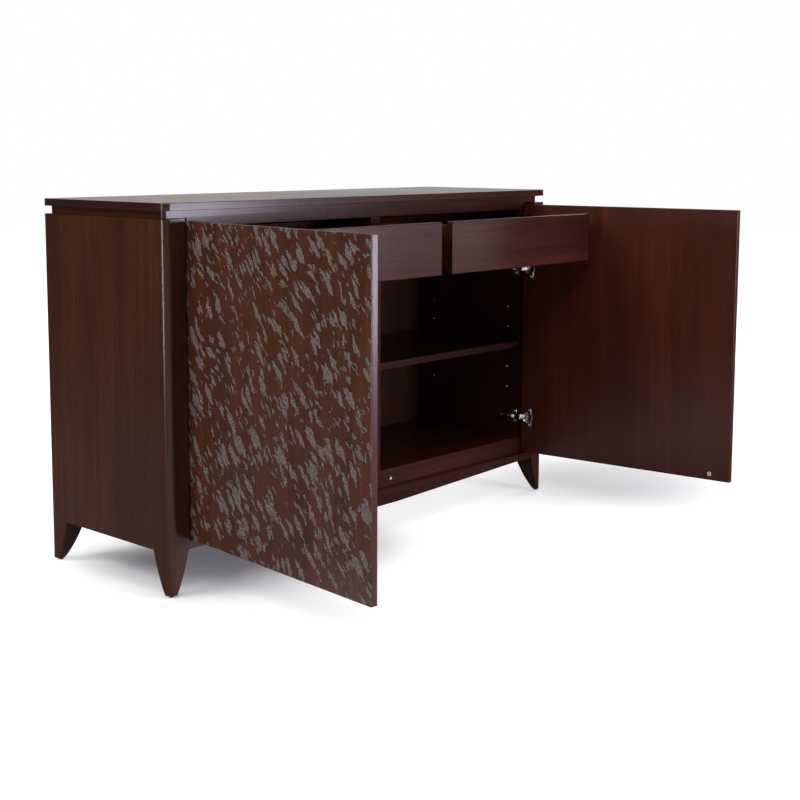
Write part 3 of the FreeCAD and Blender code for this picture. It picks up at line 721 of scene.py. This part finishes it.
def sleeve_tree(nickel):
    """A geometry tree that sets a sleeve with a rolled lip on every seat."""
    tree, given, made = new_group(
        "shelf-pin sleeves",
        [
            ("Seats", GEOMETRY, None),
            ("Outer radius", FLOAT, SLEEVE_OUTER),
            ("Bore radius", FLOAT, SLEEVE_BORE),
            ("Lip radius", FLOAT, SLEEVE_LIP),
            ("Lip rise", FLOAT, SLEEVE_RISE),
            ("Length", FLOAT, SLEEVE_LENGTH),
        ],
        [("Sleeves", GEOMETRY)],
        kind="GeometryNodeTree",
    )
    bore, length = given["Bore radius"], given["Length"]

    def carried_round(section, outer):
        """Carries a section round the bore, midway between the bore and an outer radius."""
        middle = calc(tree, "MULTIPLY", calc(tree, "ADD", bore, outer), 0.5)
        inputs = {"Resolution": SLEEVE_SIDES, "Radius": middle}
        ring = add(tree, "GeometryNodeCurvePrimitiveCircle", inputs).outputs["Curve"]
        return add(tree, "GeometryNodeCurveToMesh", {"Curve": ring, "Profile Curve": section}).outputs[0]

    wire = add(tree, "GeometryNodeCurvePrimitiveCircle", {"Resolution": LIP_SIDES, "Radius": 1.0})
    half_wide = calc(tree, "MULTIPLY", calc(tree, "SUBTRACT", given["Lip radius"], bore), 0.5)
    girth = add(tree, "ShaderNodeCombineXYZ", {"X": half_wide, "Y": given["Lip rise"], "Z": 1.0})
    inputs = {"Geometry": wire.outputs["Curve"], "Scale": girth.outputs[0]}
    oval = add(tree, "GeometryNodeTransform", inputs).outputs[0]
    lip = carried_round(oval, given["Lip radius"])
    smooth = add(tree, "GeometryNodeSetShadeSmooth", {"Geometry": lip, "Shade Smooth": True}).outputs[0]

    wall = calc(tree, "SUBTRACT", given["Outer radius"], bore)
    section = add(tree, "GeometryNodeCurvePrimitiveQuadrilateral", {"Width": wall, "Height": length})
    tube = carried_round(section.outputs["Curve"], given["Outer radius"])
    sunk = raised(tree, tube, calc(tree, "MULTIPLY", length, -0.5))

    joined = add(tree, "GeometryNodeJoinGeometry")
    feed(tree, joined.inputs["Geometry"], smooth)
    feed(tree, joined.inputs["Geometry"], sunk)
    set_on_seats(tree, given, made, joined.outputs[0], nickel)
    return tree


def repeated(name, seats, tree, body, **sizes):
    """Makes one piece with a geometry tree. Each seat is a place and the way that it faces."""
    mesh = bpy.data.meshes.new(name)
    mesh.from_pydata([place for place, _ in seats], [], [])
    facing = mesh.attributes.new("facing", "FLOAT_VECTOR", "POINT")
    for index, (_, way) in enumerate(seats):
        facing.data[index].vector = way
    piece = stand(name, mesh)
    modifier = piece.modifiers.new("repeats", "NODES")
    modifier.node_group = tree
    for label, value in sizes.items():
        named = label.replace("_", " ")
        socket = next(item for item in tree.interface.items_tree if item.name == named)
        modifier[socket.identifier] = value
    graph = bpy.context.evaluated_depsgraph_get()
    solid = bpy.data.meshes.new_from_object(piece.evaluated_get(graph))
    piece.modifiers.clear()
    piece.data = solid
    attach(piece, body)
    return piece


def loose_solids(node):
    """The corner points of each separate solid of a CAD node."""
    work = bmesh.new()
    work.from_mesh(nodes[node].data)
    bmesh.ops.remove_doubles(work, verts=work.verts, dist=MERGE)
    seen = set()
    found = []
    for vert in work.verts:
        if vert in seen:
            continue
        stack, points = [vert], []
        seen.add(vert)
        while stack:
            here = stack.pop()
            points.append(here.co.copy())
            for edge in here.link_edges:
                there = edge.other_vert(here)
                if there not in seen:
                    seen.add(there)
                    stack.append(there)
        found.append(points)
    work.free()
    return found


def head_seats(node, way):
    """Where the heads of a node's screws sit, under the middle of each head's outer face."""
    seats = []
    for points in loose_solids(node):
        facing = way(points)
        reach = [p.dot(facing) for p in points]
        face = [p for p, r in zip(points, reach) if r > max(reach) - NEAR_FACE]
        middle = sum(face, Vector()) / len(face)
        seats.append((middle - facing * HEAD_SEAT, facing))
    return seats


def door_normal(side):
    """The way an open door's inner face looks."""
    return door_turn(side, DOOR_OPEN) @ Vector((0, 1, 0))


def add_screws(tree):
    """The heads of the screws in the hinge plates and in the cups' flanges."""

    def to_middle(points):
        return Vector((-1, 0, 0)) if points[0].x > 0 else Vector((1, 0, 0))

    seats = head_seats("hinge_plate_screws", to_middle)
    plate = repeated("plate_screw_heads", seats, tree, "cabinet")
    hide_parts("hinge_plate_screws")
    for side in SIDES:
        normal = door_normal(side)
        seats = head_seats(side + "_cup_screws", lambda points: normal)
        heads = repeated(side + "_cup_screw_heads", seats, tree, side + "_door")
        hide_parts(side + "_cup_screws")


def sleeve_seats():
    """Where each sleeve meets its board's face, with the way its mouth looks."""
    seats = []
    for points in loose_solids("pin_sleeves"):
        centre = sum(points, Vector()) / len(points)
        radii = [math.hypot(p.y - centre.y, p.z - centre.z) for p in points]
        rim = [p.x for p, radius in zip(points, radii) if radius > SLEEVE_LIP - NEAR_FACE]
        ends = (min(p.x for p in points), max(p.x for p in points))
        sign = 1 if abs(max(rim) - ends[1]) < abs(min(rim) - ends[0]) else -1
        face = max(rim) if sign > 0 else min(rim)
        seats.append((Vector((face - sign * SLEEVE_RISE, centre.y, centre.z)), Vector((sign, 0, 0))))
    return seats


def add_sleeves(nickel):
    piece = repeated("pin_sleeve_rims", sleeve_seats(), sleeve_tree(nickel), "cabinet")
    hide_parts("pin_sleeves")


# Pieces with eased edges


def softened(node, edge, body, shape=None, steps=3, sharp=SHARP_ANGLE):
    """A copy of a CAD node with its edges rounded, which stands for it."""
    work = bmesh.new()
    work.from_mesh(nodes[node].data)
    bmesh.ops.remove_doubles(work, verts=work.verts, dist=MERGE)
    bmesh.ops.dissolve_limit(work, angle_limit=math.radians(1), verts=work.verts, edges=work.edges)
    bmesh.ops.recalc_face_normals(work, faces=work.faces)
    if shape:
        shape(work)
    mesh = bpy.data.meshes.new(node + "_softened")
    work.to_mesh(mesh)
    work.free()
    piece = stand(node + "_softened", mesh)
    bevel = piece.modifiers.new("edges", "BEVEL")
    bevel.width = edge
    bevel.segments = steps
    bevel.limit_method = "ANGLE"
    bevel.angle_limit = math.radians(CUT_ANGLE)
    bevel.use_clamp_overlap = False
    graph = bpy.context.evaluated_depsgraph_get()
    solid = bpy.data.meshes.new_from_object(piece.evaluated_get(graph))
    piece.modifiers.clear()
    piece.data = solid
    solid.shade_smooth()
    solid.set_sharp_from_angle(angle=math.radians(sharp))
    solid.materials.clear()
    solid.materials.append(nodes[node].data.materials[0])
    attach(piece, body)
    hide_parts(node)


def ease_boards():
    """Takes the sharpness off the boards' arrises, so that they catch a line of light."""
    fixed = ["top_slab", "front_top_rail", "base_rail", "apron_front", "bottom_board", *pair("shelf")]
    boards = [(node, "cabinet") for node in fixed]
    for side in SIDES:
        boards += [(side + "_drawer_front", side + "_drawer"), (side + "_door_core", side + "_door")]
    for node, body in boards:
        softened(node, ARRIS, body, steps=2, sharp=BOARD_SHARP_ANGLE)


def bevel_flange(work, side):
    """Cuts a broad bevel round the outer edge of each cup's screw flange."""
    normal = door_normal(side)
    outward = Vector((-normal.y, normal.x, 0)) * SIDE_SIGN[side]
    top = max(v.co.dot(normal) for v in work.verts)
    outer = max(v.co.dot(outward) for v in work.verts)

    def on_rim(vert):
        on_top = vert.co.dot(normal) > top - NEAR_FACE / 2
        return on_top and vert.co.dot(outward) > outer - FLANGE_WIDE

    edges = [e for e in work.edges if on_rim(e.verts[0]) and on_rim(e.verts[1]) and not e.is_wire]
    bmesh.ops.bevel(work, geom=edges, offset=FLANGE_BEVEL, segments=1, profile=0.5, affect="EDGES")


def soften_hinges():
    softened("hinge_plates", PLATE_EDGE, "cabinet")
    for side in SIDES:
        softened(side + "_hinge_cups", CUP_EDGE, side + "_door", lambda work: bevel_flange(work, side))


# Hinge arms


def join_rings(work, near, far):
    """Joins two closed rings of corners with a band of faces."""
    count = len(near)
    for i in range(count):
        j = (i + 1) % count
        work.faces.new((near[i], near[j], far[j], far[i]))


def loft(work, rings):
    """Skins closed rings of points, and closes both ends."""
    made = [[work.verts.new(point) for point in ring] for ring in rings]
    for near, far in zip(made, made[1:]):
        join_rings(work, near, far)
    work.faces.new(made[0][::-1])
    work.faces.new(made[-1])


def rounded_outline(half_wide, half_tall, corner, steps=4):
    """Points round a rectangle with round corners, as pairs."""
    points = []
    for turn, (x_sign, y_sign) in enumerate(((1, 1), (-1, 1), (-1, -1), (1, -1))):
        for step in range(steps + 1):
            angle = math.radians(90 * (turn + step / steps))
            x = x_sign * (half_wide - corner) + corner * math.cos(angle)
            y = y_sign * (half_tall - corner) + corner * math.sin(angle)
            points.append((x, y))
    return points


def arm_path(back):
    """The middle line of an arm from above: out from the pin, slanting to the plate and back along it.

    Each point is its distance into the bay and behind the pin.
    """
    foot, knee = Vector((ARM_FOOT, -ARM_NOSE)), Vector((ARM_OUT, ARM_KNEE))
    slant = (knee - foot).normalized()
    points = [(0.0, -ARM_NOSE), (ARM_FOOT * 0.5, -ARM_NOSE)]
    corners = ((foot, Vector((1, 0)), slant), (knee, slant, Vector((0, 1))))
    for corner, before, after in corners:
        start, end = corner - before * ARM_BEND, corner + after * ARM_BEND
        for step in range(ARM_BEND_STEPS + 1):
            t = step / ARM_BEND_STEPS
            points.append(tuple(start * (1 - t) ** 2 + corner * 2 * t * (1 - t) + end * t ** 2))
    return points + [(ARM_OUT, back * share) for share in ARM_STOPS]


def bar_rings(place, back):
    """Rings along an arm's bar, which grows taller from the eye to the plate."""
    path = arm_path(back)
    rings = []
    for index, (out, behind) in enumerate(path):
        before, after = path[max(index - 1, 0)], path[min(index + 1, len(path) - 1)]
        along = Vector((after[0] - before[0], after[1] - before[1])).normalized()
        tall = ARM_EYE_TALL + (ARM_TALL - ARM_EYE_TALL) * min(max(out / ARM_OUT, 0.0), 1.0)
        ring = []
        for thick, up in rounded_outline(ARM_THICK / 2, tall, ARM_CORNER):
            ring.append(place(out + along.y * thick, behind - along.x * thick, up))
        rings.append(ring)
    return rings


def add_eye(work, place):
    """The ring at an arm's nose, round the hinge pin."""
    turns = [math.radians(360 / EYE_SIDES * i) for i in range(EYE_SIDES)]
    rings = []
    for radius, end in ((EYE_OUTER, -1), (EYE_OUTER, 1), (EYE_INNER, 1), (EYE_INNER, -1)):
        up = end * ARM_EYE_TALL
        points = [place(radius * math.cos(t), radius * math.sin(t), up) for t in turns]
        rings.append([work.verts.new(point) for point in points])
    for near, far in zip(rings, rings[1:] + rings[:1]):
        join_rings(work, near, far)


def cover_rings(place, back):
    """Rings along the cover over an arm's screws, crowned across and rounded at its ends."""
    start = back * COVER_START
    low = ARM_OUT + ARM_THICK / 2 - COVER_SINK
    rings = []
    for share, rise in COVER_PROFILE:
        behind = start + (back - start) * share
        ring = []
        for step in range(COVER_STEPS + 1):
            across = -1 + 2 * step / COVER_STEPS
            edge = 1 - abs(across) ** COVER_FLATNESS
            crown = COVER_RISE * rise * edge * (1 - COVER_CROWN * across * across)
            ring.append(place(low + COVER_SKIRT + crown, behind, ARM_TALL * across))
        ring += [place(low - COVER_SKIRT, behind, up) for up in (ARM_TALL, -ARM_TALL)]
        rings.append(ring)
    return rings


def add_arm(work, side, level, back):
    """One cranked arm with its eye and cover. level is its height, and back its reach behind the pin."""
    pivot = PIVOTS[side]
    sign = SIDE_SIGN[side]

    def place(out, behind, up):
        return (pivot.x - sign * out, pivot.y + behind, level + up)

    loft(work, bar_rings(place, back))
    add_eye(work, place)
    loft(work, cover_rings(place, back))


def add_arms(nickel, tree):
    """The four hinge arms, and the adjusting screws in their covers."""
    work = bmesh.new()
    seats = []
    out = ARM_OUT + ARM_THICK / 2 + COVER_RISE - ADJUSTER_SINK
    for points in loose_solids("hinge_arms"):
        side = "right" if points[0].x > 0 else "left"
        pivot = PIVOTS[side]
        level = (min(p.z for p in points) + max(p.z for p in points)) / 2
        back = max(p.y for p in points) - pivot.y
        add_arm(work, side, level, back)
        way = Vector((-SIDE_SIGN[side], 0, 0))
        for share in ADJUSTER_PLACES:
            seats.append((Vector((pivot.x + way.x * out, pivot.y + back * share, level)), way))
    bmesh.ops.recalc_face_normals(work, faces=work.faces)
    mesh = bpy.data.meshes.new("hinge_arm_shells")
    work.to_mesh(mesh)
    work.free()
    mesh.shade_smooth()
    mesh.set_sharp_from_angle(angle=math.radians(ARM_SHARP_ANGLE))
    mesh.materials.append(nickel)
    arms = stand("hinge_arm_shells", mesh)
    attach(arms, "cabinet")
    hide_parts("hinge_arms")
    repeated("arm_adjusters", seats, tree, "cabinet", Head_radius=ADJUSTER_RADIUS)


# Studio


def add_camera():
    data = bpy.data.cameras.new("camera")
    data.lens = CAMERA_LENS
    data.sensor_width = CAMERA_SENSOR
    data.shift_x, data.shift_y = CAMERA_SHIFT
    camera = stand("camera", data)
    camera.location = CAMERA_PLACE
    heading = Matrix.Rotation(math.radians(-CAMERA_HEADING), 3, "Z")
    tilt = Matrix.Rotation(math.radians(90 + CAMERA_TILT), 3, "X")
    camera.rotation_euler = (heading @ tilt).to_euler()
    bpy.context.scene.camera = camera


def add_lamps():
    """Soft rectangular lamps, out of the camera's sight."""
    for name, place, target, size, power, tint in LAMPS:
        data = bpy.data.lights.new(name, "AREA")
        data.shape = "RECTANGLE"
        data.size, data.size_y = size
        data.energy = power
        data.color = tint
        lamp = stand(name, data)
        lamp.location = place
        aim = Vector(target) - Vector(place)
        lamp.rotation_euler = aim.to_track_quat("-Z", "Y").to_euler()
        lamp.visible_camera = False


def ray_kinds(tree):
    """The kinds of ray that reach a surface, and whether one comes off gloss or through glass."""
    path = tree.nodes.new("ShaderNodeLightPath").outputs
    return path, calc(tree, "MAXIMUM", path["Is Glossy Ray"], path["Is Transmission Ray"])


def add_world():
    """White behind the object for the camera, a white backdrop for reflections, and a low even light."""
    world = bpy.data.worlds.new("studio")
    bpy.context.scene.world = world
    world.use_nodes = True
    tree = world.node_tree
    path, shiny = ray_kinds(tree)
    way = tree.nodes.new("ShaderNodeTexCoord").outputs["Generated"]
    heading = math.radians(CAMERA_HEADING)
    facing = vector_calc(tree, "DOT_PRODUCT", way, (math.sin(heading), math.cos(heading), 0.0))
    backdrop = ramp(tree, facing, *BACKDROP_EDGES, *BACKDROP_LEVELS)
    glossy = calc(tree, "MULTIPLY", shiny, backdrop)
    soft = calc(tree, "MULTIPLY", path["Is Diffuse Ray"], SOFT_LIGHT)
    level = calc(tree, "MAXIMUM", calc(tree, "MAXIMUM", path["Is Camera Ray"], glossy), soft)
    fill(tree, tree.nodes["Background"], Color=grey(1.0), Strength=level)


def add_floor():
    """A white floor that keeps the object's shadow, with painted shadow under the case and by the doors,
    and a painted glow that only gloss mirrors.
    """
    mesh = bpy.data.meshes.new("floor")
    corners = [(x * FLOOR_HALF, y * FLOOR_HALF, 0) for x, y in ((-1, -1), (1, -1), (1, 1), (-1, 1))]
    mesh.from_pydata(corners, [], [(0, 1, 2, 3)])
    floor = stand("floor", mesh)
    material, tree, shader, place = start("studio floor")

    def round_patch(middle, distances, levels):
        return ramp(tree, vector_calc(tree, "DISTANCE", place, middle), *distances, *levels)

    # Painted shadow: the glow dims at fixed places, under the case's left end and by each open door
    off_centre = vector_calc(tree, "ABSOLUTE", vector_calc(tree, "SUBTRACT", place, PAINTED_SHADE_MIDDLE))
    past_half = vector_calc(tree, "SUBTRACT", off_centre, PAINTED_SHADE_HALF)
    beside = vector_calc(tree, "LENGTH", vector_calc(tree, "MAXIMUM", past_half, (0, 0, 0)))
    under = ramp(tree, beside, *PAINTED_SHADE_FADE, *PAINTED_SHADE_LEVELS)
    painted_shade_by_doors = calc(tree, "MULTIPLY", round_patch(*PAINTED_SHADE_BY_RIGHT_DOOR), round_patch(*PAINTED_SHADE_BY_LEFT_DOOR))
    painted_shade = calc(tree, "MULTIPLY", under, painted_shade_by_doors)
    glow = calc(tree, "MAXIMUM", painted_shade, round_patch(*AWAY_FROM_CASE))

    # Painted reflection: a glow that only gloss sees, in a sector before the left corner and a patch left
    # of the case
    outward = vector_calc(tree, "NORMALIZE", vector_calc(tree, "SUBTRACT", place, SECTOR_START))
    toward = vector_calc(tree, "DOT_PRODUCT", outward, SECTOR_WAY)
    sector = ramp(tree, toward, *SECTOR_EDGES, *SECTOR_LEVELS)
    painted_reflection = calc(tree, "MAXIMUM", round_patch(*PAINTED_GLOSS_PATCH), sector)

    path, shiny = ray_kinds(tree)
    seen = calc(tree, "MULTIPLY", path["Is Camera Ray"], glow)
    mirrored = calc(tree, "MULTIPLY", shiny, painted_reflection)
    strength = calc(tree, "MAXIMUM", seen, mirrored)
    tone = blend(tree, path["Is Camera Ray"], grey(BOUNCED_GREY), grey(SEEN_GREY))
    tone = blend(tree, path["Is Glossy Ray"], tone, grey(MIRRORED_GREY))
    fill(tree, shader, Base_Color=tone, Roughness=FLOOR_ROUGHNESS, Specular_IOR_Level=0.0)
    fill(tree, shader, Emission_Color=grey(1.0), Emission_Strength=strength)
    mesh.materials.append(material)


dress_case()
dress_drawers()
dress_doors()
nickel_plate = dress_hardware()
undressed = sorted(set(nodes) - dressed)
assert not undressed, undressed
ease_boards()
soften_hinges()
screws = screw_tree(nickel_plate)
add_screws(screws)
add_arms(nickel_plate, screws)
add_sleeves(nickel_plate)
add_floor()
add_camera()
add_lamps()
add_world()
bpy.context.scene.view_settings.view_transform = "Standard"
